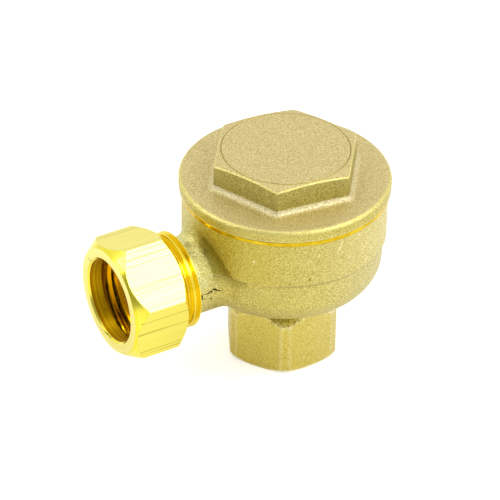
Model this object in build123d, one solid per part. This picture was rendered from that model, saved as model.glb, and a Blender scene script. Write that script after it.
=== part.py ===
from build123d import *
import os

os.makedirs("parts", exist_ok=True)

# Sizes in millimetres. +Z is up, the outlet's mouth is at the origin, and the inlet points along -X.

# Clearances between pieces that fit into one another
THREAD_CLEARANCE = 0.1
SCREW_CLEARANCE = 0.05
STOP_GAP = 0.05              # left where the valve meets its seat, and the element its stop
PICK = 0.05                  # how near an edge lies to the height by which it is picked

# Outlet: half-inch female pipe thread in a hexagon
OUTLET_AF = 27.6
OUTLET_ANGLE = -117.6        # direction of one corner, in degrees
OUTLET_CORNER_PROUD = 1.45   # the corners are turned to a radius this much beyond the flats
OUTLET_FACE_PROUD = 0.1      # flat face round the mouth, chamfered from here to the corners
OUTLET_EDGE = 0.85
OUTLET_CORNER_TOP = 14.6     # height at which the corners start to be chamfered
OUTLET_CHAMFER_SLOPE = 1.4
OUTLET_ROUND = 0.8           # rounding of the hexagon's edges
OUTLET_NECK_INSET = 0.8      # round neck between the hexagon and the bowl, inside the flats
OUTLET_BORE_R = 10.4
OUTLET_BORE_DEPTH = 14.9
OUTLET_CONE_SLOPE = 0.6      # drill cone between the bore and the seat's hole

# Chamber: a round bowl below, and a wall that stands a little proud of it above
WALL_R = 26.45
WALL_T = 3.35                # thickness at the cover's thread
WALL_EDGE = 0.35
LEDGE = 0.9                  # how far the wall stands proud of the bowl
LEDGE_Z = 35.3
BODY_TOP = 48.15
BOWL_BOTTOM = 19.3
BOWL_FLAT_R = 12.6
BOWL_SHOULDER = 29.8         # height at which the bowl's curve ends
CASTING_T = 3.0
THREAD_STEP = 1.2            # the chamber is this much narrower than the cover's thread
THREAD_RUNOUT = 1.5

# Inlet neck with its male union thread, one inch and 14 to the inch
INLET_Z = 30.6
NECK_R = 10.25
NECK_L = 6.15                # from the bowl's side to the thread
NECK_BLEND = 4.0             # fillet between the neck and the chamber
NECK_BORE_R = 7.0
UNION_R = 12.7
UNION_L = 9.3
UNION_PITCH = 25.4 / 14
UNION_DEPTH = 1.05
UNION_BEVEL = 0.7
GROOVE_MOUTH = 0.38          # half widths of a groove, in parts of the pitch
GROOVE_ROOT = 0.06

# Union nut
NUT_WALL = 1.6               # over the thread, at the middle of a flat
NUT_ANGLE = 17.7
NUT_L = 16.0
NUT_GAP = 3.7                # thread left bare behind the nut
NUT_BACK_INSET = 1.1         # from the flats in to the round faces at the two ends
NUT_FACE_INSET = 0.5
NUT_BACK_CHAMFER = 2.7       # length of the chamfers at the corners
NUT_CHAMFER = 3.3
NUT_HOLE_R = 11.0
NUT_LIP = 3.8
NUT_EDGE = 0.5

# Cover gasket
GASKET_T = 1.6
GASKET_PROUD = 0.65          # beyond the body's wall
GASKET_ROUND = 0.5           # rounding of its outer edges
GASKET_CLEARANCE = 0.4       # round the cover's thread

# Cover
FLANGE_T = 3.0
FLANGE_PROUD = 0.8           # beyond the body's wall
FLANGE_ROUND = 1.2
HEX_AF = 34.5
HEX_H = 7.35
HEX_ANGLE = -7.4             # direction of one corner
HEX_CORNER = 0.9
HEX_FOOT = 1.8               # fillet at the hexagon's foot
HEX_EDGE = 0.5               # rounding of the top edges
HEX_FACE_R = 16.5            # turned face, ringed by a fine line
HEX_LINE_W = 0.36
HEX_LINE_D = 0.14
HEX_FALL = 0.8               # how far the corners fall below the turned face
SKIRT_T = 3.0
SKIRT_L = 8.0
SKIRT_BEVEL = 0.8
CEILING_T = 4.2
CEILING_R = 13.8
CEILING_RISE = 2.0           # cone between the skirt and the ceiling
BOSS_R = 6.5
BOSS_RISE = 1.25             # boss's end above the flange's underside
STUD_R = 3.0
STUD_L = 4.8
STUD_ROOM = 0.6
STUD_CONE = 1.2              # drill cone above the stud

# Element: two end plates and a bellows of welded conical discs
PLATE_R = 13.5
PLATE_T = 2.2
PLATE_EDGE = 0.5
STOP_R = 4.0                 # post inside the bellows that stops it when it shrinks
BELLOWS_FOLDS = 5
BELLOWS_R = 14.0
BELLOWS_INNER_R = 9.8
BELLOWS_T = 0.3
BELLOWS_WELD = 0.5           # width of the welded rims
BELLOWS_SLIT = 0.04          # width of the fold between two discs

# Valve
SEAT_T = 3.0
SEAT_AF = 17.0
SEAT_SHANK_R = 6.5
PORT_R = 3.5
STROKE = 2.4
CONE_R = 5.5
CONE_TIP_R = 1.0
CONE_SHANK = 1.85
RIVET_R = 2.5

# Sizes that follow
bowl_r = WALL_R - LEDGE
cover_thread_r = WALL_R - WALL_T
cover_bore_r = cover_thread_r + THREAD_CLEARANCE
chamber_r = cover_bore_r - THREAD_STEP
chamber_floor = BOWL_BOTTOM + CASTING_T
seat_hole_r = SEAT_SHANK_R + SCREW_CLEARANCE
union_start = bowl_r + NECK_L
union_end = union_start + UNION_L
nut_back = union_start + NUT_GAP
nut_front = nut_back + NUT_L
nut_bore_r = UNION_R + THREAD_CLEARANCE
nut_af = 2 * (nut_bore_r + NUT_WALL)
flange_z = BODY_TOP + GASKET_T
plate_top = flange_z + FLANGE_T
cover_top = plate_top + HEX_H
skirt_bottom = flange_z - SKIRT_L
boss_bottom = flange_z + BOSS_RISE
seat_top = chamber_floor + SEAT_T
cone_line = seat_top + STROKE + STOP_GAP     # height at which the open cone is as wide as the port
cone_top = cone_line + CONE_R - PORT_R
foot_bottom = cone_top + CONE_SHANK
foot_top = foot_bottom + PLATE_T
head_bottom = boss_bottom - PLATE_T


def about_z(*points):
    """Solid of revolution about Z from (radius, height) points."""
    return revolve(Plane.XZ * make_face(Polyline(*points, close=True)), Axis.Z)


def about_inlet(*points):
    """Solid of revolution about the inlet's axis from (distance from the outlet's axis, radius) points."""
    outline = Polyline(*[(-distance, radius) for distance, radius in points], close=True)
    solid = revolve(Plane.XZ * make_face(outline), Axis.X)
    return Pos(0, 0, INLET_Z) * solid


def rod(radius, bottom, top):
    """Cylinder about Z."""
    return about_z((0, bottom), (radius, bottom), (radius, top), (0, top))


def bowl(radius, bottom):
    """Round bowl: flat floor, a quarter ellipse, then a straight wall up to the body's top."""
    width = radius - BOWL_FLAT_R
    curve = EllipticalCenterArc((BOWL_FLAT_R, BOWL_SHOULDER), width, BOWL_SHOULDER - bottom, -90, arc_size=90)
    rest = Polyline(
        (radius, BOWL_SHOULDER), (radius, BODY_TOP), (0, BODY_TOP), (0, bottom), (BOWL_FLAT_R, bottom)
    )
    return revolve(Plane.XZ * make_face(curve + rest), Axis.Z)


def with_neck(form):
    """A round form with the inlet neck joined on by a fillet."""
    neck_end = union_start + UNION_BEVEL
    whole = form + about_inlet((0, 0), (0, NECK_R), (neck_end, NECK_R), (neck_end, 0))
    meeting = [
        edge
        for edge in whole.edges()
        if edge.geom_type not in (GeomType.CIRCLE, GeomType.LINE)
        and edge.length > NECK_R
        and edge.center().X < -BOWL_FLAT_R
    ]
    return fillet(meeting, NECK_BLEND)


def hexagon(flats, angle):
    """Hexagon by its width across flats, with a corner at the angle given."""
    return RegularPolygon(flats / 2, 6, major_radius=False, rotation=angle)


# Body, one casting
outlet_corner_r = OUTLET_AF / 2 + OUTLET_CORNER_PROUD
outlet_neck_r = OUTLET_AF / 2 - OUTLET_NECK_INSET
outlet_form = about_z(
    (0, 0),
    (OUTLET_AF / 2 + OUTLET_FACE_PROUD, 0),
    (outlet_corner_r, OUTLET_EDGE),
    (outlet_corner_r, OUTLET_CORNER_TOP),
    (outlet_neck_r, OUTLET_CORNER_TOP + OUTLET_CHAMFER_SLOPE * (outlet_corner_r - outlet_neck_r)),
    (outlet_neck_r, chamber_floor),
    (0, chamber_floor),
)
outlet = outlet_form & extrude(hexagon(OUTLET_AF, 0), chamber_floor)
corner_edges = [edge for edge in outlet.edges().filter_by(Axis.Z) if edge.center().Z < OUTLET_CORNER_TOP]
shoulder_edges = [edge for edge in outlet.edges() if edge.geom_type == GeomType.HYPERBOLA]
shoulder_edges = [edge for edge in shoulder_edges if edge.center().Z > OUTLET_CORNER_TOP]
outlet = Rot(0, 0, OUTLET_ANGLE) * fillet(corner_edges + shoulder_edges, OUTLET_ROUND)

shell = with_neck(bowl(bowl_r, BOWL_BOTTOM))
wall = with_neck(rod(WALL_R, 0, BODY_TOP)) & rod(2 * WALL_R, LEDGE_Z, BODY_TOP)
ledge_edges = [
    edge
    for edge in wall.edges().filter_by(GeomType.CIRCLE)
    if abs(edge.center().Z - LEDGE_Z) < PICK
]
wall = chamfer(ledge_edges, WALL_EDGE)

union_root = UNION_R - UNION_DEPTH
thread_end = union_end - UNION_BEVEL
union_points = [(union_start, NECK_BORE_R), (union_start, UNION_R)]
groove = union_start + UNION_PITCH / 2
while groove + GROOVE_MOUTH * UNION_PITCH < thread_end:
    union_points += [
        (groove - GROOVE_MOUTH * UNION_PITCH, UNION_R),
        (groove - GROOVE_ROOT * UNION_PITCH, union_root),
        (groove + GROOVE_ROOT * UNION_PITCH, union_root),
        (groove + GROOVE_MOUTH * UNION_PITCH, UNION_R),
    ]
    groove += UNION_PITCH
union_points += [
    (thread_end, UNION_R),
    (union_end, UNION_R - UNION_BEVEL),
    (union_end, NECK_BORE_R),
]
spud = about_inlet(*union_points)

chamber = bowl(chamber_r, chamber_floor)
thread_bottom = skirt_bottom - THREAD_RUNOUT
cover_bore = about_z(
    (0, thread_bottom),
    (chamber_r, thread_bottom),
    (cover_bore_r, thread_bottom + THREAD_STEP),
    (cover_bore_r, BODY_TOP),
    (0, BODY_TOP),
)
inlet_bore = about_inlet(
    (BOWL_FLAT_R, 0), (BOWL_FLAT_R, NECK_BORE_R), (union_end, NECK_BORE_R), (union_end, 0)
)
outlet_bore = about_z(
    (0, 0),
    (OUTLET_BORE_R, 0),
    (OUTLET_BORE_R, OUTLET_BORE_DEPTH),
    (seat_hole_r, OUTLET_BORE_DEPTH + OUTLET_CONE_SLOPE * (OUTLET_BORE_R - seat_hole_r)),
    (seat_hole_r, seat_top),
    (0, seat_top),
)
trap_body = shell + wall + outlet + spud - chamber - cover_bore - inlet_bore - outlet_bore

# Cover gasket
gasket_r = WALL_R + GASKET_PROUD
gasket_inner_r = cover_thread_r + GASKET_CLEARANCE
cover_gasket = about_z(
    (gasket_inner_r, BODY_TOP), (gasket_r, BODY_TOP), (gasket_r, flange_z), (gasket_inner_r, flange_z)
)
rim_edges = cover_gasket.edges().filter_by(GeomType.CIRCLE).sort_by(SortBy.RADIUS)[-2:]
cover_gasket = fillet(rim_edges, GASKET_ROUND)

# Union nut
nut_corner_r = nut_af / 3 ** 0.5
nut_form = about_inlet(
    (nut_back, 0),
    (nut_back, nut_af / 2 - NUT_BACK_INSET),
    (nut_back + NUT_BACK_CHAMFER, nut_corner_r),
    (nut_front - NUT_CHAMFER, nut_corner_r),
    (nut_front, nut_af / 2 - NUT_FACE_INSET),
    (nut_front, 0),
)
nut_plane = Plane((-nut_front, 0, INLET_Z), x_dir=(0, -1, 0), z_dir=(-1, 0, 0))
nut_blank = extrude(nut_plane * hexagon(nut_af, NUT_ANGLE), -NUT_L)
nut_bore = about_inlet(
    (nut_back, 0),
    (nut_back, nut_bore_r + NUT_EDGE),
    (nut_back + NUT_EDGE, nut_bore_r),
    (nut_front - NUT_LIP, nut_bore_r),
    (nut_front - NUT_LIP, NUT_HOLE_R),
    (nut_front - NUT_EDGE, NUT_HOLE_R),
    (nut_front, NUT_HOLE_R + NUT_EDGE),
    (nut_front, 0),
)
union_nut = (nut_blank & nut_form) - nut_bore

# Cover, one casting
flange_r = WALL_R + FLANGE_PROUD
round_r = flange_r - FLANGE_ROUND
round_z = plate_top - FLANGE_ROUND
flange_line = Polyline((0, plate_top), (0, flange_z), (flange_r, flange_z), (flange_r, round_z))
flange_round = CenterArc((round_r, round_z), FLANGE_ROUND, 0, 90)
flange_top = Line((round_r, plate_top), (0, plate_top))
flange = revolve(Plane.XZ * make_face(flange_line + flange_round + flange_top), Axis.Z)

hex_corner_r = HEX_AF / 3 ** 0.5
head = extrude(Plane.XY.offset(flange_z) * hexagon(HEX_AF, HEX_ANGLE), cover_top - flange_z)
head = fillet(head.edges().filter_by(Axis.Z), HEX_CORNER)
head = head & about_z(
    (0, flange_z),
    (hex_corner_r, flange_z),
    (hex_corner_r, cover_top - HEX_FALL),
    (HEX_FACE_R, cover_top),
    (0, cover_top),
)
rim_z = cover_top - 2 * HEX_FALL
top_edges = [
    edge
    for edge in head.edges()
    if edge.center().Z > rim_z and edge.geom_type not in (GeomType.LINE, GeomType.CIRCLE)
]
head = fillet(top_edges, HEX_EDGE)
head = head - about_z(
    (HEX_FACE_R - HEX_LINE_W / 2, cover_top),
    (HEX_FACE_R, cover_top - HEX_LINE_D),
    (HEX_FACE_R + HEX_LINE_W / 2, cover_top),
)
cover = flange + head
foot_edges = [
    edge
    for edge in cover.edges()
    if abs(edge.center().Z - plate_top) < PICK and edge.length < HEX_AF
]
cover = fillet(foot_edges, HEX_FOOT)

skirt_inner_r = cover_thread_r - SKIRT_T
skirt = about_z(
    (skirt_inner_r, skirt_bottom),
    (cover_thread_r - SKIRT_BEVEL, skirt_bottom),
    (cover_thread_r, skirt_bottom + SKIRT_BEVEL),
    (cover_thread_r, plate_top - CASTING_T / 2),
    (skirt_inner_r, plate_top - CASTING_T / 2),
)
cover_hollow = about_z(
    (BOSS_R, skirt_bottom),
    (skirt_inner_r, skirt_bottom),
    (skirt_inner_r, plate_top - CASTING_T),
    (CEILING_R, plate_top - CASTING_T + CEILING_RISE),
    (CEILING_R, cover_top - CEILING_T),
    (BOSS_R, cover_top - CEILING_T),
)
stud_hole_r = STUD_R + SCREW_CLEARANCE
stud_hole_top = boss_bottom + STUD_L + STUD_ROOM
stud_hole = about_z(
    (0, boss_bottom), (stud_hole_r, boss_bottom), (stud_hole_r, stud_hole_top), (0, stud_hole_top + STUD_CONE)
)
cover = cover + skirt - cover_hollow - rod(BOSS_R, skirt_bottom, boss_bottom) - stud_hole

# Element, from the cover down
element_head = about_z(
    (0, foot_top + STOP_GAP),
    (STOP_R, foot_top + STOP_GAP),
    (STOP_R, head_bottom),
    (PLATE_R, head_bottom),
    (PLATE_R, boss_bottom - PLATE_EDGE),
    (PLATE_R - PLATE_EDGE, boss_bottom),
    (STUD_R, boss_bottom),
    (STUD_R, boss_bottom + STUD_L - PLATE_EDGE),
    (STUD_R - PLATE_EDGE, boss_bottom + STUD_L),
    (0, boss_bottom + STUD_L),
)

fold = (head_bottom - foot_top) / BELLOWS_FOLDS
wide = BELLOWS_WELD / 2
narrow = BELLOWS_SLIT / 2
rim_r = BELLOWS_R - BELLOWS_T
root_r = BELLOWS_INNER_R - BELLOWS_T
outside = [(BELLOWS_INNER_R, head_bottom)]
inside = [(root_r, head_bottom), (root_r, head_bottom - wide)]
for number in range(BELLOWS_FOLDS):
    valley = head_bottom - (number + 1) * fold
    crest = valley + fold / 2
    outside += [(BELLOWS_R, crest + wide), (BELLOWS_R, crest - wide)]
    inside += [(rim_r, crest + narrow), (rim_r, crest - narrow)]
    if number < BELLOWS_FOLDS - 1:
        outside += [(BELLOWS_INNER_R, valley + narrow), (BELLOWS_INNER_R, valley - narrow)]
        inside += [(root_r, valley + wide), (root_r, valley - wide)]
outside += [(BELLOWS_INNER_R, foot_top)]
inside += [(root_r, foot_top + wide), (root_r, foot_top)]
bellows = about_z(*outside, *reversed(inside))

element_foot = about_z(
    (RIVET_R, foot_bottom),
    (PLATE_R - PLATE_EDGE, foot_bottom),
    (PLATE_R, foot_bottom + PLATE_EDGE),
    (PLATE_R, foot_top),
    (RIVET_R, foot_top),
)

# Valve cone and seat
cone_tip = cone_line - PORT_R + CONE_TIP_R
valve_cone = about_z(
    (0, cone_tip),
    (CONE_TIP_R, cone_tip),
    (CONE_R, cone_top),
    (CONE_R, foot_bottom),
    (RIVET_R, foot_bottom),
    (RIVET_R, foot_top),
    (0, foot_top),
)
seat_head = extrude(Plane.XY.offset(chamber_floor) * hexagon(SEAT_AF, 0), SEAT_T)
seat_shank = rod(SEAT_SHANK_R, OUTLET_BORE_DEPTH, chamber_floor)
valve_seat = seat_head + seat_shank - rod(PORT_R, OUTLET_BORE_DEPTH, seat_top)

export_step(trap_body, "parts/trap_body.step")
export_step(cover, "parts/cover.step")
export_step(cover_gasket, "parts/cover_gasket.step")
export_step(union_nut, "parts/union_nut.step")
export_step(valve_seat, "parts/valve_seat.step")
export_step(element_head, "parts/element_head.step")
export_step(bellows, "parts/bellows.step")
export_step(element_foot, "parts/element_foot.step")
export_step(valve_cone, "parts/valve_cone.step")
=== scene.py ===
import math

import bmesh
import bpy
from mathutils import Matrix, Vector


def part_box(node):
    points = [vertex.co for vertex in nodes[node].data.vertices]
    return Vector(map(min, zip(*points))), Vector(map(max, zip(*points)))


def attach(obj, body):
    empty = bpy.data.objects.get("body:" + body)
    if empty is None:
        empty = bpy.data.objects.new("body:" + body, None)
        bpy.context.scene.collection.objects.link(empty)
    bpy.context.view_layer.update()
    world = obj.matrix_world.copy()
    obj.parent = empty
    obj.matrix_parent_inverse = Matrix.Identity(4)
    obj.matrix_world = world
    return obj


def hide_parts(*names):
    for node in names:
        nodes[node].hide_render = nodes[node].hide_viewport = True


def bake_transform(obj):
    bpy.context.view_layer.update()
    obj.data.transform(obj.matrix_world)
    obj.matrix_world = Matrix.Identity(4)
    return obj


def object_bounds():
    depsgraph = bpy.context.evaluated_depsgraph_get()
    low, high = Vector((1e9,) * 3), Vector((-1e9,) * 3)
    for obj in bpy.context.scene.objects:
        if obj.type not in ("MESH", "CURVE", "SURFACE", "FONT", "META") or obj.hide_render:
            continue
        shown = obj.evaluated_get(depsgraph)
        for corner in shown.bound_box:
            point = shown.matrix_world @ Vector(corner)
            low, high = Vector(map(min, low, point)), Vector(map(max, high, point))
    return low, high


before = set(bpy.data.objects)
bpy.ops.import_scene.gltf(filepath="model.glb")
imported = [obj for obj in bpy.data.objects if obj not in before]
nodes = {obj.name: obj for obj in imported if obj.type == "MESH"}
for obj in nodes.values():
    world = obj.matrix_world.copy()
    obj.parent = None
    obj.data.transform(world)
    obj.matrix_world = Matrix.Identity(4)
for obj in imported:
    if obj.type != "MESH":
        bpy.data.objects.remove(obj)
cad_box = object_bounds()

# Camera, as the angle and framing of a 500 x 500 picture. Lengths are in metres.
CAMERA_AZIMUTH = math.radians(-31.12)
CAMERA_ELEVATION = math.radians(34.942)
CAMERA_ROLL = math.radians(0.969)
CAMERA_DISTANCE = 0.8309
CAMERA_AIM = Vector((0, 0, 0.03574))
AIM_PIXEL = (283.93, 227.32)
FOCAL_PIXELS = 3224.9
PICTURE_SIDE = 500
SENSOR_WIDTH = 36

# Studio
STUDIO_DARK = (-0.86, -0.33, 0.39)     # direction of the unlit side
STUDIO_FADE = (0.70, 0.95)             # agreement with that direction where the dark starts and is full
STUDIO_DARK_LEVEL = 0.4
FLOOR_REACH = 6
PAPER_TONE = (0.85, 0.85, 0.85, 1)
PAPER_LIFT = 0.5                       # glow of the paper where it is seen directly
PAPER_MIRROR_LIFT = 0.15               # glow of the paper where metal reflects it
LAMP_AIM = Vector((0, 0, 0.03))
RIGHT_LAMP = {"direction": (0.42, -0.50, 0.75), "distance": 0.7, "size": 0.3, "power": 1.45}
LEFT_LAMP = {"direction": (-0.68, 0.25, 0.68), "distance": 0.7, "size": 0.25, "power": 0.8}

# Sizes of the CAD pieces that the looks follow
UNION_LENGTH = 0.0093
NUT_LIP = 0.0038
NUT_BORE_R = 0.0128
NUT_MOUTH = 0.0006                     # depth behind the nut's front where its hole begins
OUTLET_BORE_R = 0.0104
OUTLET_CORNER_R = 0.01525
OUTLET_TOP = 0.0193
LEDGE_Z = 0.0353
NECK_R = 0.01025
WALL_R = 0.02645
FLANGE_EDGE_R = 0.0255
FLANGE_TOP = 0.05275
HEXAGON_FACE_R = 0.0165
HEXAGON_EDGE_Z = 0.0575

# How faces of the CAD pieces are told apart
HAIR = 0.00001                         # slack at an end face
SKIN = 0.0001                          # slack at a round wall
LEVEL_SLOPE = 0.93                     # upward share of the normal on level faces of the cover
FOOT_SLOPE = 0.985                     # the same where the hexagon's foot runs into the flange
SIDE_SLOPE = 0.25                      # and on upright faces
RING_SLOPE = 0.95                      # and on the step that draws the ring line
RING_REACH = 0.0003
FLAT_TILT = 0.01                       # lengthwise share of the normal on the nut's flats
CHAMFER_TILT = (0.1, 0.95)             # and on its chamfers

# Threads
INCH = 0.0254
UNION_PITCH = INCH / 14
NUT_THREAD_DEPTH = 0.0013
NUT_RELIEF = 0.0003                    # smooth stretch between the nut's lip and its thread
NUT_THREAD_GAP = 0.0001                # between the thread's end and the neck's end
OUTLET_PITCH = INCH / 14
OUTLET_THREAD_DEPTH = 0.0010
OUTLET_THREAD_START = 0.0006
OUTLET_THREAD_LENGTH = 0.0125
PIPE_TAPER = 1 / 32
THREAD_SEGMENTS = 96
THREAD_SINK = 0.0001                   # how far a ridge's foot reaches into its wall
THREAD_FOOT = 0.48                     # half a ridge's width at its foot, over the pitch
THREAD_CREST = 0.2                     # half a ridge's width at its crest, over the pitch
THREAD_RUN_IN = 0.25                   # turns over which a ridge rises at either end
THREAD_LEAST = 0.02                    # share of its depth that a ridge has at its very end

# Bellows
BELLOWS_FOLDS = 5
BELLOWS_INNER = 0.7                    # inner radius over outer radius
BELLOWS_RIM = 0.0004                   # how far the bevel at a fold's rim reaches inwards
BELLOWS_SHOULDER = 0.10                # half the height between a rim's bevels, over the fold's height
BELLOWS_CREST = 0.05                   # half the height of a rim, over the fold's height
BELLOWS_SEGMENTS = 96

# Casting faults on the neck's side, as (start, end, reach)
NECK_FAULTS = [
    ((-0.03021, -0.01023, 0.03100), (-0.03020, -0.01022, 0.03000), 0.00042),
    ((-0.02946, -0.01023, 0.03116), (-0.02858, -0.01023, 0.03122), 0.00016),
    ((-0.02858, -0.01023, 0.03122), (-0.02771, -0.01022, 0.03128), 0.00022),
    ((-0.02755, -0.01021, 0.03140), (-0.02738, -0.01020, 0.03159), 0.00050),
    ((-0.02683, -0.01016, 0.03193), (-0.02595, -0.01021, 0.03146), 0.00030),
    ((-0.02595, -0.01021, 0.03146), (-0.02492, -0.01037, 0.03089), 0.00024),
    ((-0.02742, -0.01016, 0.02928), (-0.02742, -0.01016, 0.02920), 0.00030),
]

# Brown stains on top of the neck
NECK_STAINS = [
    ((-0.02722, -0.00395, 0.04129), (-0.02671, -0.00549, 0.04070), 0.0011),
    ((-0.02715, -0.00050, 0.04264), (-0.02705, -0.00080, 0.04264), 0.0005),
    ((-0.02900, -0.00115, 0.04110), (-0.02760, -0.00280, 0.04140), 0.0013),
]

# Painted shade under the bowl, over the outlet hexagon's front corner
OUTLET_NOOK_SHADE = [((-0.0095, -0.0118, 0.0172), (-0.0043, -0.0146, 0.0172), 0.0024)]

# Bright scars and small dark ticks on the chamber's wall
WALL_SCARS = [
    ((-0.01959, -0.01777, 0.0424), (-0.01959, -0.01777, 0.0427), 0.00032),
    ((-0.00560, -0.02586, 0.0442), (-0.00540, -0.02589, 0.0446), 0.00032),
    ((0.00078, -0.02644, 0.0466), (-0.00032, -0.02645, 0.0442), 0.00034),
]
WALL_TICKS = [
    ((-0.00766, -0.02531, 0.0380), (-0.00766, -0.02531, 0.0374), 0.00034),
    ((-0.01233, -0.02339, 0.0369), (-0.01233, -0.02339, 0.0364), 0.00026),
]

# Nicks on the nut's front rim
NUT_NICKS = [
    ((-0.05140, 0.01080, 0.03738), (-0.05140, 0.00948, 0.03710), 0.00022),
    ((-0.05140, 0.00437, 0.01920), (-0.05125, 0.00197, 0.01942), 0.00018),
    ((-0.05125, 0.00197, 0.01942), (-0.05114, -0.00048, 0.01938), 0.00022),
    ((-0.04998, -0.01497, 0.03237), (-0.04998, -0.01497, 0.03230), 0.00024),
    ((-0.04890, -0.00592, 0.04468), (-0.04890, -0.00592, 0.04460), 0.00024),
]

# Small pits in the nut's lip
BORE_PITS = [
    ((-0.04444, 0.01190, 0.02588), (-0.04444, 0.01190, 0.02570), 0.00035),
    ((-0.04517, 0.01180, 0.02566), (-0.04517, 0.01180, 0.02560), 0.00022),
    ((-0.04869, 0.00731, 0.02239), (-0.04869, 0.00731, 0.02232), 0.00024),
]

# How ragged such marks are
MARK_NOISE = 2400
MARK_RAGGED = 0.8                      # how far the outline wanders, over the reach
MARK_CORE = 0.4                        # where a mark is at its full strength, over the reach

# Darkest and lightest tone of each metal, as screen values
BODY_TONES = ((184, 166, 66), (240, 226, 134))
OUTLET_TONES = ((198, 176, 70), (234, 216, 114))
COVER_TONES = ((190, 172, 108), (236, 220, 160))
RING_TONES = ((150, 134, 60), (190, 172, 92))
# Painted shade: darker tones for the upright sides of the rim and the hexagon
RIM_SHADE_TONES = ((174, 157, 66), (228, 214, 122))
HEXAGON_SHADE_TONES = ((146, 136, 64), (208, 197, 120))
# Painted highlight: paler tones for the rounded edges of the cover
EDGE_HIGHLIGHT_TONES = ((202, 187, 94), (242, 231, 148))
DRAWN_TONES = ((245, 231, 98), (248, 235, 107))
# The nut face's paler tones are a painted reflection, the chamfer's deeper tones painted shade
FACE_SHEEN_TONES = ((244, 228, 112), (252, 240, 140))
CHAMFER_SHADE_TONES = ((240, 226, 62), (250, 238, 92))
BORE_TONES = ((214, 140, 5), (255, 232, 26))
RIDGE_TONES = ((238, 206, 52), (250, 228, 86))
THREAD_TONES = ((238, 208, 58), (250, 228, 80))
GASKET_TONES = ((206, 170, 24), (230, 198, 44))
PLATE_TONES = ((196, 166, 84), (226, 200, 120))
BELLOWS_TONES = ((160, 104, 56), (206, 150, 92))
STAINLESS_TONES = ((150, 150, 148), (196, 196, 194))

# Tones of marks and of worn edges, whose brightness on the cast brass is partly a painted highlight, as
# screen values
BRIGHT_TONE = (250, 243, 190)
DARK_TONE = (38, 30, 10)
DIE_TONE = (172, 150, 48)
NUT_EDGE_TONE = (170, 148, 36)

# Reach of worn edges, with the normals' agreement where wear starts and where it is full. On the cast brass
# the bright worn edges are partly a painted highlight.
SHARP_EDGES = (0.0004, 0.998, 0.97)
ROUND_EDGES = (0.0010, 0.9996, 0.987)
NUT_EDGES = (0.00018, 0.998, 0.97)
EDGE_SAMPLES = 6

# Stretch that holds most of a noise's values
NOISE_SPAN = (0.3, 0.7)

# Cast brass
GRAIN_NOISE = 3000
GRAIN_ROUGHNESS = 0.6
GRAIN_SPAN = (0.34, 0.66)
GRAIN_DEPTH = 0.00022
PATCH_NOISE = 150
PATCH_SHARE = 0.35                     # how far patches even out the grain's tones
PATCH_HEIGHT = 0.5                     # height of patches over the grain's
FLECK_SCALE = 620
FLECK_STRETCH = (1, 1, 0.6)
FLECK_RADIUS = (0.26, 0.08)
FLECK_CHANCE = (0.82, 0.88)
# Bright rubbed edges: wear, and partly a painted highlight
WEAR_AND_SHEEN_SPAN = (0.35, 0.55)               # grain over which wear grows
WEAR_AND_SHEEN_SHARE = (0.15, 0.8)               # and how strong it is at both ends
CAST_COAT = 0.3                        # pale sheen of the cast skin
CAST_COAT_ROUGHNESS = 0.45
CAST_ROUGHER = 0.08
CAST_SMOOTHER = 0.06

# Drawn brass
DRAWN_NOISE = 1700
DRAWN_STRETCH = (0.01, 1, 1)
DRAWN_ROUGHNESS = (0.20, 0.13)
DRAWN_RELIEF = 0.02
DIE_NOISE = 1300
DIE_STRETCH = (0.008, 1, 1)
DIE_SPAN = (0.59, 0.67)
DIE_SHARE = 0.55
DRAWN_EDGE_SHARE = 0.5

# Turned brass
RING_NOISE = 2600
SMEAR_NOISE = 160
SMEAR_SPAN = (0.35, 0.75)
SMEAR_SHARE = 0.25
TURNED_EDGE_SHARE = 0.25
NICK_SHARE = 0.7
TURNED_ROUGHNESS = (1.2, 0.8)          # over the roughness given
GROOVE_TURN = 0.25                     # turns the anisotropy across the rings
LINE_DEPTH = 0.00002

# Rolled metal
ROLLED_ROUGHNESS = (1.15, 0.85)        # over the roughness given
ROLLED_RELIEF = 0.2
ROLLED_DEPTH = 0.00005

# Painted light and shade on the body's skin, with the stretches of x or z where they begin and are full
STEP = 0.0005                          # half the stretch over which a tone changes at a ledge
NECK_X = (-0.0225, -0.0315)
NECK_SIDE_X = (-0.008, -0.022)
FAR_SIDE_X = (-0.010, 0.012)
FRONT_X = (0.012, -0.006)
NECK_TOP_Z = (0.0320, 0.0345)
# Tints of painted light: a paler painted sheen on the far side and the neck, painted shade on the front, by
# the neck and on the bowl
FAR_SIDE_SHEEN_TINT = (1.05, 1.08, 1.55)
FRONT_SHADE_TINT = (0.89, 0.89, 0.94)
NECK_SIDE_SHADE_TINT = (0.96, 0.93, 0.6)
BOWL_SHADE_TINT = (0.92, 0.93, 0.97)
BOWL_NECK_SIDE_SHADE_TINT = (0.91, 0.89, 0.78)
NECK_SHEEN_TINT = (1.0, 1.04, 1.25)
NECK_TOP_SHEEN_TINT = (1.14, 1.24, 1.7)
# Painted highlight on the rounded foot of the cover's hexagon
FOOT_HIGHLIGHT_TINT = (1.05, 1.12, 1.45)         # on the rounded foot of the cover's hexagon

# Painted shade in the crease between the neck and the wall
CREASE_WALL = 1.4                      # weight of the distance from the wall
CREASE_NECK = 0.6                      # weight of the distance from the neck
CREASE_NOISE = 700
CREASE_NOISE_SPAN = (0.2, 0.8)
CREASE_RAGGED = 0.0002
CREASE_REACH = (0.0025, 0.0019)
CREASE_SHARE = 0.8
CREASE_Z = (0.0315, 0.0365)
CREASE_X = (-0.018, -0.021)
CREASE_Y = (-0.0005, -0.004)
CREASE_BACK = 0.2                      # share that is left on the far side
CREASE_SHADE_TINT = (0.46, 0.44, 0.14)

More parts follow.
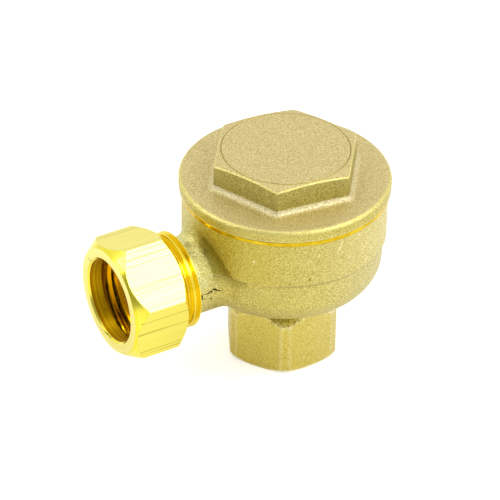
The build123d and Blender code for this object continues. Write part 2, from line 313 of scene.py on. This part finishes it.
# Painted shade along the ledge
LEDGE_REACH = (0.0008, 0.0004)
LEDGE_SHARE = 0.55
LEDGE_X = (-0.019, -0.012)
LEDGE_PROUD = (0.0012, 0.0002)         # outside the wall's radius, where the neck's fillet takes over
LEDGE_SHADE_TINT = (0.5, 0.47, 0.3)

# Other marks on the body, and the tint of the painted shade under the bowl
STAIN_SHARE = 0.6
STAIN_TINT = (0.5, 0.42, 0.25)
OUTLET_NOOK_SHADE_TINT = (0.45, 0.41, 0.12)
SCAR_SHARE = 0.6
TICK_SHARE = 0.7
TICK_TINT = (0.4, 0.38, 0.2)

# Where pieces lie, from the frame
nut_low, nut_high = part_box("union_nut")
neck_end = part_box("trap_body")[0].x
gasket_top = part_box("cover_gasket")[1].z
bellows_low, bellows_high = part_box("bellows")
inlet_z = (nut_low.z + nut_high.z) / 2


def srgb(red, green, blue):
    """Colour of a material from its 0 to 255 screen values."""
    def linear(value):
        share = value / 255
        return share / 12.92 if share <= 0.04045 else ((share + 0.055) / 1.055) ** 2.4
    return (linear(red), linear(green), linear(blue), 1)


BRIGHT = srgb(*BRIGHT_TONE)
DARK = srgb(*DARK_TONE)


class Look:
    """A material's node tree, with short ways to add nodes and to link them."""

    # Which sockets of a Mix node hold its colours
    FIRST_COLOUR = 6
    SECOND_COLOUR = 7
    MIXED_COLOUR = 2

    def __init__(self, name, metallic, roughness):
        self.material = bpy.data.materials.new(name)
        self.material.use_nodes = True
        self.tree = self.material.node_tree
        self.shader = self.tree.nodes["Principled BSDF"]
        self.set("Metallic", metallic)
        self.set("Roughness", roughness)
        self.place = self.add("ShaderNodeTexCoord").outputs["Object"]

    def add(self, kind, **settings):
        node = self.tree.nodes.new(kind)
        for name, value in settings.items():
            setattr(node, name, value)
        return node

    def feed(self, socket, value):
        """Sets a socket to a number, colour or vector, or links it to another node's output."""
        if isinstance(value, bpy.types.NodeSocket):
            self.tree.links.new(value, socket)
        else:
            socket.default_value = value

    def set(self, name, value):
        """Feeds one of the shader's own sockets."""
        self.feed(self.shader.inputs[name], value)

    def math(self, operation, first, second=0.0, clamp=False):
        node = self.add("ShaderNodeMath", operation=operation, use_clamp=clamp)
        self.feed(node.inputs[0], first)
        self.feed(node.inputs[1], second)
        return node.outputs[0]

    def times(self, first, *others):
        """Product of masks and numbers."""
        result = first
        for other in others:
            result = self.math("MULTIPLY", result, other)
        return result

    def vector(self, operation, first, second=(0, 0, 0)):
        node = self.add("ShaderNodeVectorMath", operation=operation)
        self.feed(node.inputs[0], first)
        self.feed(node.inputs[1], second)
        return node.outputs["Value" if operation in ("DISTANCE", "DOT_PRODUCT", "LENGTH") else "Vector"]

    def axes(self):
        """X, Y and Z of the place in the frame."""
        split = self.add("ShaderNodeSeparateXYZ")
        self.feed(split.inputs[0], self.place)
        return split.outputs["X"], split.outputs["Y"], split.outputs["Z"]

    def stretched(self, scale):
        """The place scaled by axis, for marks that run along one direction."""
        return self.vector("MULTIPLY", self.place, scale)

    def from_outlet_axis(self):
        return self.vector("LENGTH", self.stretched((1, 1, 0)))

    def from_inlet_axis(self):
        offset = self.vector("SUBTRACT", self.place, (0, 0, inlet_z))
        return self.vector("LENGTH", self.vector("MULTIPLY", offset, (0, 1, 1)))

    def about_inlet(self):
        """(distance along the inlet, distance from its axis, 0), for turned rings."""
        join = self.add("ShaderNodeCombineXYZ")
        self.feed(join.inputs["X"], self.axes()[0])
        self.feed(join.inputs["Y"], self.from_inlet_axis())
        return join.outputs[0]

    def noise(self, scale, detail=2.0, place=None, roughness=0.5):
        node = self.add("ShaderNodeTexNoise")
        self.feed(node.inputs["Vector"], place or self.place)
        node.inputs["Scale"].default_value = scale
        node.inputs["Detail"].default_value = detail
        node.inputs["Roughness"].default_value = roughness
        return node.outputs["Fac"]

    def spots(self, scale, place):
        """Distance to the nearest of many scattered points, and a random number for each."""
        node = self.add("ShaderNodeTexVoronoi")
        self.feed(node.inputs["Vector"], place)
        node.inputs["Scale"].default_value = scale
        channel = self.add("ShaderNodeSeparateColor")
        self.feed(channel.inputs[0], node.outputs["Color"])
        return node.outputs["Distance"], channel.outputs[0]

    def span(self, value, low, high, to_low=0.0, to_high=1.0):
        """Takes the values from low to high to those from to_low to to_high, with soft ends."""
        node = self.add("ShaderNodeMapRange", interpolation_type="SMOOTHSTEP")
        self.feed(node.inputs["Value"], value)
        node.inputs["From Min"].default_value = low
        node.inputs["From Max"].default_value = high
        node.inputs["To Min"].default_value = to_low
        node.inputs["To Max"].default_value = to_high
        return node.outputs["Result"]

    def mix(self, share, first, second, blend="MIX"):
        node = self.add("ShaderNodeMix", data_type="RGBA", blend_type=blend)
        self.feed(node.inputs[0], share)
        self.feed(node.inputs[self.FIRST_COLOUR], first)
        self.feed(node.inputs[self.SECOND_COLOUR], second)
        return node.outputs[self.MIXED_COLOUR]

    def tint(self, share, base, factors):
        """Multiplies a colour's channels by the factors, as far as the share says."""
        return self.mix(share, base, (*factors, 1), blend="MULTIPLY")

    def mark(self, start, end, reach):
        """1 along a ragged line between two points, falling to 0 at the reach."""
        start, end = Vector(start), Vector(end)
        along = end - start
        offset = self.vector("SUBTRACT", self.place, start)
        travel = self.vector("DOT_PRODUCT", offset, along)
        share = self.math("DIVIDE", travel, along.length_squared, clamp=True)
        scale = self.add("ShaderNodeVectorMath", operation="SCALE")
        self.feed(scale.inputs[0], along)
        self.feed(scale.inputs["Scale"], share)
        distance = self.vector("DISTANCE", offset, scale.outputs[0])
        wander = reach * MARK_RAGGED
        ragged = self.math("ADD", distance, self.span(self.noise(MARK_NOISE), 0, 1, -wander, wander))
        return self.span(ragged, reach, reach * MARK_CORE)

    def marks(self, places):
        """The strongest of the marks at the places given."""
        result = self.mark(*places[0])
        for place in places[1:]:
            result = self.math("MAXIMUM", result, self.mark(*place))
        return result

    def edges(self, reach, flat, turned):
        """1 along edges, 0 where the normal agrees with those around it."""
        rounded = self.add("ShaderNodeBevel", samples=EDGE_SAMPLES)
        rounded.inputs["Radius"].default_value = reach
        surface = self.add("ShaderNodeNewGeometry")
        agree = self.vector("DOT_PRODUCT", rounded.outputs["Normal"], surface.outputs["Normal"])
        return self.span(agree, flat, turned)

    def bump(self, height, strength, distance):
        node = self.add("ShaderNodeBump")
        self.feed(node.inputs["Height"], height)
        node.inputs["Strength"].default_value = strength
        node.inputs["Distance"].default_value = distance
        return node.outputs["Normal"]

    def finish(self, colour, roughness=None, normal=None):
        self.set("Base Color", colour)
        if roughness:
            self.set("Roughness", roughness)
        if normal:
            self.set("Normal", normal)
        return self.material


def cast_brass(name, tones, roughness=0.45, relief=0.5, wear_and_sheen=SHARP_EDGES, flecks=0.25, skin=None):
    """Sand-cast brass: coarse grain, soft patches, bright scattered flecks and rubbed edges, whose
    brightness is partly a painted highlight.
    """
    look = Look(name, metallic=1.0, roughness=roughness)
    low, high = srgb(*tones[0]), srgb(*tones[1])
    middle = tuple((a + b) / 2 for a, b in zip(low, high))
    grain = look.noise(GRAIN_NOISE, roughness=GRAIN_ROUGHNESS)
    patch = look.noise(PATCH_NOISE, detail=3)
    base = look.mix(look.span(grain, *GRAIN_SPAN), low, high)
    base = look.mix(look.span(patch, *NOISE_SPAN, 0, PATCH_SHARE), base, middle)
    distance, chance = look.spots(FLECK_SCALE, look.stretched(FLECK_STRETCH))
    fleck = look.times(look.span(distance, *FLECK_RADIUS), look.span(chance, *FLECK_CHANCE), flecks)
    base = look.mix(fleck, base, BRIGHT)
    if wear_and_sheen:
        # Rubbed edges painted bright: wear, and partly a painted highlight
        rubbed_and_sheen = look.times(look.edges(*wear_and_sheen), look.span(grain, *WEAR_AND_SHEEN_SPAN, *WEAR_AND_SHEEN_SHARE))
        base = look.mix(rubbed_and_sheen, base, BRIGHT)
    if skin:
        base = skin(look, base)
    look.set("Coat Weight", CAST_COAT)
    look.set("Coat Roughness", CAST_COAT_ROUGHNESS)
    rough = look.span(grain, *NOISE_SPAN, roughness + CAST_ROUGHER, roughness - CAST_SMOOTHER)
    height = look.math("ADD", grain, look.times(patch, PATCH_HEIGHT))
    return look.finish(base, rough, look.bump(height, relief, GRAIN_DEPTH))


def body_painted_light_and_shade(look, base):
    """Painted light and shade: golden painted shade by the neck, a paler painted sheen on the far side and
    on the neck, duller painted shade on the front and on the bowl.
    """
    x, _, z = look.axes()
    neck = look.span(x, *NECK_X)
    off_neck = look.span(x, *NECK_X[::-1])
    neck_side = look.times(look.span(x, *NECK_SIDE_X), off_neck)
    front = look.times(look.span(x, *FRONT_X), off_neck)
    wall = look.span(z, LEDGE_Z - STEP, LEDGE_Z + STEP)
    under_wall = look.span(z, LEDGE_Z + STEP, LEDGE_Z - STEP)
    bowl = look.times(under_wall, look.span(z, OUTLET_TOP - STEP, OUTLET_TOP + STEP))
    base = look.tint(look.span(x, *FAR_SIDE_X), base, FAR_SIDE_SHEEN_TINT)
    base = look.tint(look.times(front, wall), base, FRONT_SHADE_TINT)
    base = look.tint(look.times(neck_side, wall), base, NECK_SIDE_SHADE_TINT)
    base = look.tint(look.times(bowl, off_neck), base, BOWL_SHADE_TINT)
    base = look.tint(look.times(neck_side, bowl), base, BOWL_NECK_SIDE_SHADE_TINT)
    base = look.tint(neck, base, NECK_SHEEN_TINT)
    return look.tint(look.times(neck, look.span(z, *NECK_TOP_Z)), base, NECK_TOP_SHEEN_TINT)


def crease_painted_shade(look):
    """Mask of the painted shade in the crease between the neck and the wall, strongest in front."""
    x, y, z = look.axes()
    from_wall = look.times(look.math("SUBTRACT", look.from_outlet_axis(), WALL_R), CREASE_WALL)
    from_neck = look.times(look.math("SUBTRACT", look.from_inlet_axis(), NECK_R), CREASE_NECK)
    ragged = look.span(look.noise(CREASE_NOISE), *CREASE_NOISE_SPAN, -CREASE_RAGGED, CREASE_RAGGED)
    distance = look.math("ADD", look.math("ADD", from_wall, from_neck), ragged)
    return look.times(
        look.span(distance, *CREASE_REACH, 0, CREASE_SHARE),
        look.span(z, *CREASE_Z),
        look.span(x, *CREASE_X),
        look.span(y, *CREASE_Y, CREASE_BACK, 1),
    )


def ledge_painted_shade(look):
    """Mask of the painted shade along the ledge, which ends at the neck's fillet."""
    x, _, z = look.axes()
    off = look.math("ABSOLUTE", look.math("SUBTRACT", z, LEDGE_Z))
    return look.times(
        look.span(off, *LEDGE_REACH, 0, LEDGE_SHARE),
        look.span(x, *LEDGE_X),
        look.span(look.from_outlet_axis(), WALL_R + LEDGE_PROUD[0], WALL_R + LEDGE_PROUD[1]),
    )


def body_skin(look, base):
    """The body's painted light and shade, painted shade in the crease, along the ledge and under the bowl,
    stains on the neck, scars and casting faults.
    """
    base = body_painted_light_and_shade(look, base)
    # Painted shade in the crease by the neck
    base = look.tint(crease_painted_shade(look), base, CREASE_SHADE_TINT)
    base = look.tint(look.times(look.marks(NECK_STAINS), STAIN_SHARE), base, STAIN_TINT)
    # Painted shade under the ledge
    base = look.tint(ledge_painted_shade(look), base, LEDGE_SHADE_TINT)
    # Painted shade in the nook under the bowl
    base = look.tint(look.marks(OUTLET_NOOK_SHADE), base, OUTLET_NOOK_SHADE_TINT)
    base = look.mix(look.times(look.marks(WALL_SCARS), SCAR_SHARE), base, BRIGHT)
    base = look.tint(look.times(look.marks(WALL_TICKS), TICK_SHARE), base, TICK_TINT)
    return look.mix(look.marks(NECK_FAULTS), base, DARK)


def foot_highlight(look, base):
    """Painted highlight: paler where the foot of the cover's hexagon rises from the flange."""
    return look.tint(look.span(look.axes()[2], FLANGE_TOP, FLANGE_TOP + STEP), base, FOOT_HIGHLIGHT_TINT)


def drawn_brass(name, tones, roughness):
    """Bright drawn bar: fine lines along the inlet, grey die marks and darker edges."""
    look = Look(name, metallic=1.0, roughness=roughness)
    lines = look.noise(DRAWN_NOISE, detail=3, place=look.stretched(DRAWN_STRETCH))
    die = look.noise(DIE_NOISE, place=look.stretched(DIE_STRETCH))
    base = look.mix(look.span(lines, *NOISE_SPAN), srgb(*tones[0]), srgb(*tones[1]))
    base = look.mix(look.span(die, *DIE_SPAN, 0, DIE_SHARE), base, srgb(*DIE_TONE))
    base = look.mix(look.times(look.edges(*NUT_EDGES), DRAWN_EDGE_SHARE), base, srgb(*NUT_EDGE_TONE))
    rough = look.span(lines, *NOISE_SPAN, *DRAWN_ROUGHNESS)
    return look.finish(base, rough, look.bump(lines, DRAWN_RELIEF, LINE_DEPTH))


def turned_brass(name, tones, roughness, relief=0.1, marks=None, grooved=None):
    """Turned brass: fine rings about the inlet's axis. Where marks are given, nicks and darker edges."""
    look = Look(name, metallic=1.0, roughness=roughness)
    low, high = srgb(*tones[0]), srgb(*tones[1])
    rings = look.noise(RING_NOISE, place=look.about_inlet())
    smear = look.noise(SMEAR_NOISE, detail=3)
    base = look.mix(look.span(rings, *NOISE_SPAN), low, high)
    base = look.mix(look.span(smear, *SMEAR_SPAN, 0, SMEAR_SHARE), base, low)
    if marks:
        edges = look.times(look.edges(*NUT_EDGES), TURNED_EDGE_SHARE)
        base = look.mix(edges, base, srgb(*NUT_EDGE_TONE))
        base = look.mix(look.times(look.marks(marks), NICK_SHARE), base, DARK)
    if grooved:
        around = look.add("ShaderNodeTangent", direction_type="RADIAL", axis="X")
        look.set("Anisotropic", grooved)
        look.set("Anisotropic Rotation", GROOVE_TURN)
        look.set("Tangent", around.outputs["Tangent"])
    rough = look.span(rings, *NOISE_SPAN, *(roughness * factor for factor in TURNED_ROUGHNESS))
    return look.finish(base, rough, look.bump(rings, relief, LINE_DEPTH))


def rolled_metal(name, tones, roughness, scale):
    """Rolled or turned metal with a fine uneven surface."""
    look = Look(name, metallic=1.0, roughness=roughness)
    cloud = look.noise(scale, detail=4)
    base = look.mix(look.span(cloud, *NOISE_SPAN), srgb(*tones[0]), srgb(*tones[1]))
    rough = look.span(cloud, *NOISE_SPAN, *(roughness * factor for factor in ROLLED_ROUGHNESS))
    return look.finish(base, rough, look.bump(cloud, ROLLED_RELIEF, ROLLED_DEPTH))


# Materials of the pieces
body_cast = cast_brass("body_cast", BODY_TONES, flecks=0.55, skin=body_skin)
outlet_cast = cast_brass(
    "outlet_cast", OUTLET_TONES, roughness=0.36, relief=0.3, wear_and_sheen=ROUND_EDGES, skin=body_skin,
)
cover_cast = cast_brass("cover_cast", COVER_TONES, roughness=0.58, wear_and_sheen=None)
ring_cast = cast_brass("ring_cast", RING_TONES, roughness=0.5, wear_and_sheen=None)
# Painted highlight: a paler copy of the cover's cast on the hexagon's foot
foot_highlight_cast = cast_brass("foot_highlight_cast", COVER_TONES, roughness=0.58, wear_and_sheen=None, skin=foot_highlight)
# Painted shade: darker copies of the cast for the upright sides of the rim and the hexagon
rim_side_shade_cast = cast_brass("rim_side_shade_cast", RIM_SHADE_TONES)
hexagon_side_shade_cast = cast_brass("hexagon_side_shade_cast", HEXAGON_SHADE_TONES, roughness=0.5, relief=0.7)
# Painted highlight: a paler copy of the cast for the rounded edges of the flange and the hexagon
edge_highlight_cast = cast_brass("edge_highlight_cast", EDGE_HIGHLIGHT_TONES)
nut_flats = drawn_brass("drawn_brass", DRAWN_TONES, roughness=0.16)
# Painted light on the nut: a paler copy on the face as painted reflection, a deeper copy on the chamfer as
# painted shade
nut_turned = turned_brass("turned_brass", FACE_SHEEN_TONES, roughness=0.18, marks=NUT_NICKS)
nut_chamfer = turned_brass("chamfer_brass", CHAMFER_SHADE_TONES, roughness=0.18, marks=NUT_NICKS)
nut_bore = turned_brass(
    "bore_brass", BORE_TONES, roughness=0.5, relief=0.5, marks=BORE_PITS, grooved=0.9,
)
nut_ridge = turned_brass("ridge_brass", RIDGE_TONES, roughness=0.12, relief=0.2)
thread_turned = turned_brass("thread_brass", THREAD_TONES, roughness=0.2)
gasket_rolled = rolled_metal("gasket_brass", GASKET_TONES, roughness=0.12, scale=300)
plate_turned = rolled_metal("plate_brass", PLATE_TONES, roughness=0.3, scale=900)
bellows_rolled = rolled_metal("bellows_bronze", BELLOWS_TONES, roughness=0.3, scale=600)
stainless = rolled_metal("stainless", STAINLESS_TONES, roughness=0.3, scale=900)


def paint(name, *materials, choose=None):
    """Gives a CAD node its materials; choose says which of them a face takes."""
    mesh = nodes[name].data
    mesh.materials.clear()
    for material in materials:
        mesh.materials.append(material)
    for face in mesh.polygons:
        face.use_smooth = True
        face.material_index = materials.index(choose(face)) if choose else 0


def from_inlet_axis(point):
    return math.hypot(point.y, point.z - inlet_z)


def from_outlet_axis(point):
    return math.hypot(point.x, point.y)


def body_face(face):
    """Material of one of the body's faces."""
    reach = from_outlet_axis(face.center)
    if face.center.x < neck_end + UNION_LENGTH + HAIR:
        return thread_turned
    if face.center.z > OUTLET_TOP or reach > OUTLET_CORNER_R + SKIN:
        return body_cast
    return thread_turned if reach < OUTLET_BORE_R + SKIN else outlet_cast


def by_slope(slope, level, edge, side):
    """One of three materials, for level faces, rounded edges and upright sides: the edges' copy carries a
    painted highlight, the sides' copy painted shade.
    """
    if slope > LEVEL_SLOPE:
        return level
    return edge if slope > SIDE_SLOPE else side


def cover_face(face):
    """Material of one of the cover's faces."""
    reach = from_outlet_axis(face.center)
    slope = abs(face.normal.z)
    if face.center.z < gasket_top - HAIR:
        return plate_turned
    if abs(reach - HEXAGON_FACE_R) < RING_REACH and slope < RING_SLOPE:
        return ring_cast
    if reach > FLANGE_EDGE_R:
        return by_slope(slope, cover_cast, edge_highlight_cast, rim_side_shade_cast)
    if face.center.z > HEXAGON_EDGE_Z:
        return by_slope(slope, cover_cast, edge_highlight_cast, hexagon_side_shade_cast)
    if slope < SIDE_SLOPE:
        return hexagon_side_shade_cast
    return foot_highlight_cast if slope < FOOT_SLOPE else cover_cast


def nut_face(face):
    """Material of one of the union nut's faces."""
    reach = from_inlet_axis(face.center)
    tilt = abs(face.normal.x)
    if tilt < FLAT_TILT and reach > NUT_BORE_R:
        return nut_flats
    if CHAMFER_TILT[0] < tilt < CHAMFER_TILT[1]:
        return nut_chamfer
    inside = reach < NUT_BORE_R + SKIN and face.center.x > nut_low.x + NUT_MOUTH
    return nut_bore if inside else nut_turned


paint("trap_body", body_cast, outlet_cast, thread_turned, choose=body_face)
paint(
    "cover", cover_cast, hexagon_side_shade_cast, plate_turned, edge_highlight_cast, rim_side_shade_cast, ring_cast, foot_highlight_cast,
    choose=cover_face,
)
paint("union_nut", nut_flats, nut_turned, nut_bore, nut_chamfer, choose=nut_face)
paint("cover_gasket", gasket_rolled)
paint("element_head", plate_turned)
paint("element_foot", plate_turned)
paint("valve_seat", stainless)
paint("valve_cone", stainless)


def in_scene(name, data):
    """New object in the scene for a mesh, a lamp or a camera."""
    holder = bpy.data.objects.new(name, data)
    bpy.context.scene.collection.objects.link(holder)
    return holder


def piece(name, builder, material):
    """New object in the scene for what a bmesh holds."""
    mesh = bpy.data.meshes.new(name)
    builder.to_mesh(mesh)
    builder.free()
    mesh.materials.append(material)
    return in_scene(name, mesh)


def thread_ridge(name, material, place, wall, depth, pitch, length, taper=0.0):
    """Helical ridge on the inside of a bore. The bore's axis is +Z of the matrix given."""
    turns = length / pitch - 1
    steps = round(turns * THREAD_SEGMENTS)
    run_in = THREAD_RUN_IN * THREAD_SEGMENTS
    foot = wall + THREAD_SINK
    builder = bmesh.new()
    rows = []
    for step in range(steps + 1):
        angle = 2 * math.pi * step / THREAD_SEGMENTS
        along = pitch / 2 + pitch * step / THREAD_SEGMENTS
        rise = min(1, step / run_in, (steps - step) / run_in)
        crest = wall - depth * max(rise, THREAD_LEAST) - taper * along
        section = [(foot, -THREAD_FOOT), (crest, -THREAD_CREST), (crest, THREAD_CREST), (foot, THREAD_FOOT)]
        rows.append([
            builder.verts.new(place @ Vector((r * math.cos(angle), r * math.sin(angle), along + z * pitch)))
            for r, z in section
        ])
    for first, second in zip(rows, rows[1:]):
        for k in range(len(first)):
            after = (k + 1) % len(first)
            builder.faces.new((first[k], first[after], second[after], second[k]))
    builder.faces.new(rows[0][::-1])
    builder.faces.new(rows[-1])
    bmesh.ops.recalc_face_normals(builder, faces=builder.faces)
    return piece(name, builder, material)


nut_thread_start = nut_low.x + NUT_LIP + NUT_RELIEF
nut_axis = Matrix.Translation((nut_thread_start, 0, inlet_z)) @ Matrix.Rotation(math.pi / 2, 4, "Y")
nut_thread = thread_ridge(
    "nut_thread", nut_ridge, nut_axis, NUT_BORE_R, NUT_THREAD_DEPTH, UNION_PITCH,
    neck_end - NUT_THREAD_GAP - nut_thread_start,
)
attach(nut_thread, "nut")

outlet_axis = Matrix.Translation((0, 0, OUTLET_THREAD_START))
outlet_thread = thread_ridge(
    "outlet_thread", thread_turned, outlet_axis, OUTLET_BORE_R, OUTLET_THREAD_DEPTH, OUTLET_PITCH,
    OUTLET_THREAD_LENGTH, taper=PIPE_TAPER,
)
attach(outlet_thread, "trap")


def bellows_wall():
    """Thin wall of conical discs that meet at their rims and roots."""
    outer = bellows_high.x
    inner = outer * BELLOWS_INNER
    bevel = outer - BELLOWS_RIM
    fold = (bellows_high.z - bellows_low.z) / BELLOWS_FOLDS
    outline = []
    for number in range(BELLOWS_FOLDS):
        top = bellows_high.z - number * fold
        middle = top - fold / 2
        outline += [
            (inner, top),
            (bevel, middle + fold * BELLOWS_SHOULDER),
            (outer, middle + fold * BELLOWS_CREST),
            (outer, middle - fold * BELLOWS_CREST),
            (bevel, middle - fold * BELLOWS_SHOULDER),
        ]
    outline.append((inner, bellows_low.z))
    angles = [2 * math.pi * k / BELLOWS_SEGMENTS for k in range(BELLOWS_SEGMENTS)]
    builder = bmesh.new()
    rings = [
        [builder.verts.new((r * math.cos(angle), r * math.sin(angle), z)) for angle in angles]
        for r, z in outline
    ]
    for first, second in zip(rings, rings[1:]):
        for k in range(BELLOWS_SEGMENTS):
            after = (k + 1) % BELLOWS_SEGMENTS
            builder.faces.new((first[k], second[k], second[after], first[after]))
    return piece("bellows_wall", builder, bellows_rolled)


bellows = bellows_wall()
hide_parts("bellows")
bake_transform(bellows)


def flat_light(name, direction, distance, size, power):
    """Soft square lamp that looks at the part."""
    lamp = bpy.data.lights.new(name, "AREA")
    lamp.shape = "SQUARE"
    lamp.size = size
    lamp.energy = power
    holder = in_scene(name, lamp)
    toward = Vector(direction).normalized()
    holder.location = LAMP_AIM + toward * distance
    holder.rotation_mode = "QUATERNION"
    holder.rotation_quaternion = toward.to_track_quat("Z", "Y")


def surroundings():
    """White all round as seen directly; in reflections, darker towards the unlit side."""
    world = bpy.data.worlds.new("studio")
    bpy.context.scene.world = world
    world.use_nodes = True
    tree = world.node_tree
    path = tree.nodes.new("ShaderNodeLightPath")
    direction = tree.nodes.new("ShaderNodeTexCoord")
    toward = tree.nodes.new("ShaderNodeVectorMath")
    toward.operation = "DOT_PRODUCT"
    toward.inputs[1].default_value = STUDIO_DARK
    tree.links.new(direction.outputs["Generated"], toward.inputs[0])
    reflected = tree.nodes.new("ShaderNodeMapRange")
    reflected.inputs["From Min"].default_value = STUDIO_FADE[0]
    reflected.inputs["From Max"].default_value = STUDIO_FADE[1]
    reflected.inputs["To Min"].default_value = 1.0
    reflected.inputs["To Max"].default_value = STUDIO_DARK_LEVEL
    tree.links.new(toward.outputs["Value"], reflected.inputs["Value"])
    strength = tree.nodes.new("ShaderNodeMix")
    strength.inputs["B"].default_value = 1.0
    tree.links.new(path.outputs["Is Camera Ray"], strength.inputs["Factor"])
    tree.links.new(reflected.outputs["Result"], strength.inputs["A"])
    background = tree.nodes["Background"]
    background.inputs["Color"].default_value = (1, 1, 1, 1)
    tree.links.new(strength.outputs["Result"], background.inputs["Strength"])


def floor():
    """Pale paper that looks white and keeps the part's shadow."""
    look = Look("paper", metallic=0.0, roughness=1.0)
    look.set("Specular IOR Level", 0)
    look.set("Emission Color", (1, 1, 1, 1))
    path = look.add("ShaderNodeLightPath")
    reflected = look.times(path.outputs["Is Glossy Ray"], PAPER_MIRROR_LIFT)
    direct = look.times(path.outputs["Is Camera Ray"], PAPER_LIFT)
    look.set("Emission Strength", look.math("ADD", reflected, direct))
    builder = bmesh.new()
    bmesh.ops.create_grid(builder, x_segments=1, y_segments=1, size=FLOOR_REACH)
    sheet = piece("floor", builder, look.finish(PAPER_TONE))
    sheet.location.z = cad_box[0].z


def camera():
    """Camera at the picture's angle; its place follows from where the aim lands in the picture."""
    level = math.cos(CAMERA_ELEVATION)
    back = Vector((
        math.sin(CAMERA_AZIMUTH) * level,
        -math.cos(CAMERA_AZIMUTH) * level,
        math.sin(CAMERA_ELEVATION),
    ))
    right = Vector((math.cos(CAMERA_AZIMUTH), math.sin(CAMERA_AZIMUTH), 0))
    up = back.cross(right)
    turn = Matrix.Rotation(CAMERA_ROLL, 3, back)
    right, up = turn @ right, turn @ up
    across = (AIM_PIXEL[0] - PICTURE_SIDE / 2) / FOCAL_PIXELS
    down = (AIM_PIXEL[1] - PICTURE_SIDE / 2) / FOCAL_PIXELS
    place = CAMERA_AIM + (back - across * right + down * up) * CAMERA_DISTANCE
    data = bpy.data.cameras.new("camera")
    data.sensor_fit = "HORIZONTAL"
    data.sensor_width = SENSOR_WIDTH
    data.lens = SENSOR_WIDTH * FOCAL_PIXELS / PICTURE_SIDE
    holder = in_scene("camera", data)
    holder.matrix_world = Matrix.Translation(place) @ Matrix((right, up, back)).transposed().to_4x4()
    bpy.context.scene.camera = holder


surroundings()
floor()
flat_light("right_lamp", **RIGHT_LAMP)
flat_light("left_lamp", **LEFT_LAMP)
camera()
bpy.context.scene.view_settings.view_transform = "Standard"
